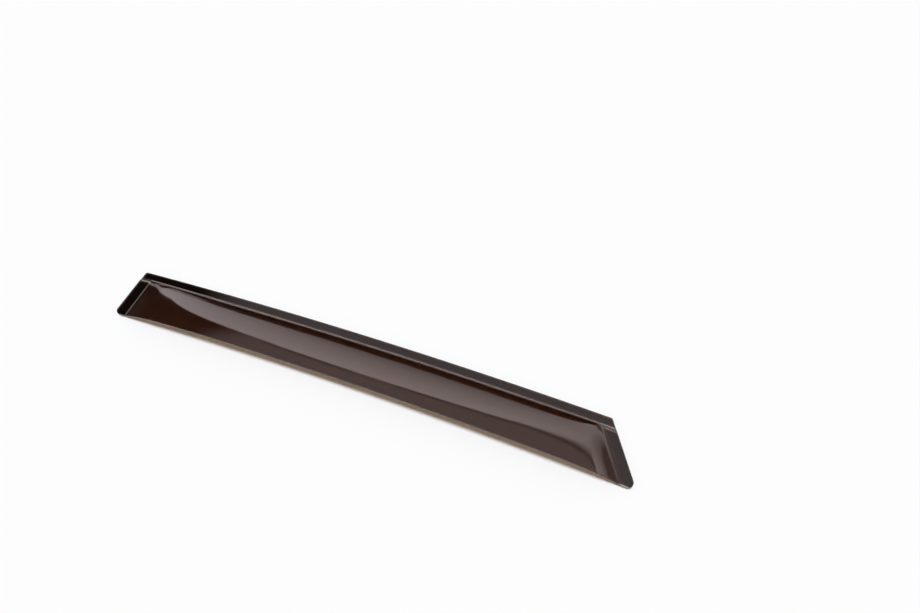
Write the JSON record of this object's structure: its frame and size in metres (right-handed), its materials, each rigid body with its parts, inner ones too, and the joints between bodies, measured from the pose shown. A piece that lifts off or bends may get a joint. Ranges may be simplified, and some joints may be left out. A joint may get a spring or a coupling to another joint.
{
  "type": "window rain deflector",
  "caption": "Long arched visor of smoked acrylic that sticks to a car door's window frame by a flat taped flange and keeps rain out of the partly open window.",
  "frame": {"origin": "on the plane of the tape's underside, below the middle of the whole deflector's box", "axes": "+X along the length towards the slanted rear end, +Y towards the bonded top edge, +Z out of the outer face"},
  "size_m": [0.6204, 0.0714, 0.017],
  "materials": {
    "smoked_acrylic": "polished, smoked brown and see-through",
    "foam_tape": "matt black foam"
  },
  "bodies": {
    "root": {"visor_shield": "smoked_acrylic", "top_tape": "foam_tape", "front_end_tape": "foam_tape", "rear_end_tape": "foam_tape"}
  },
  "joints": []
}
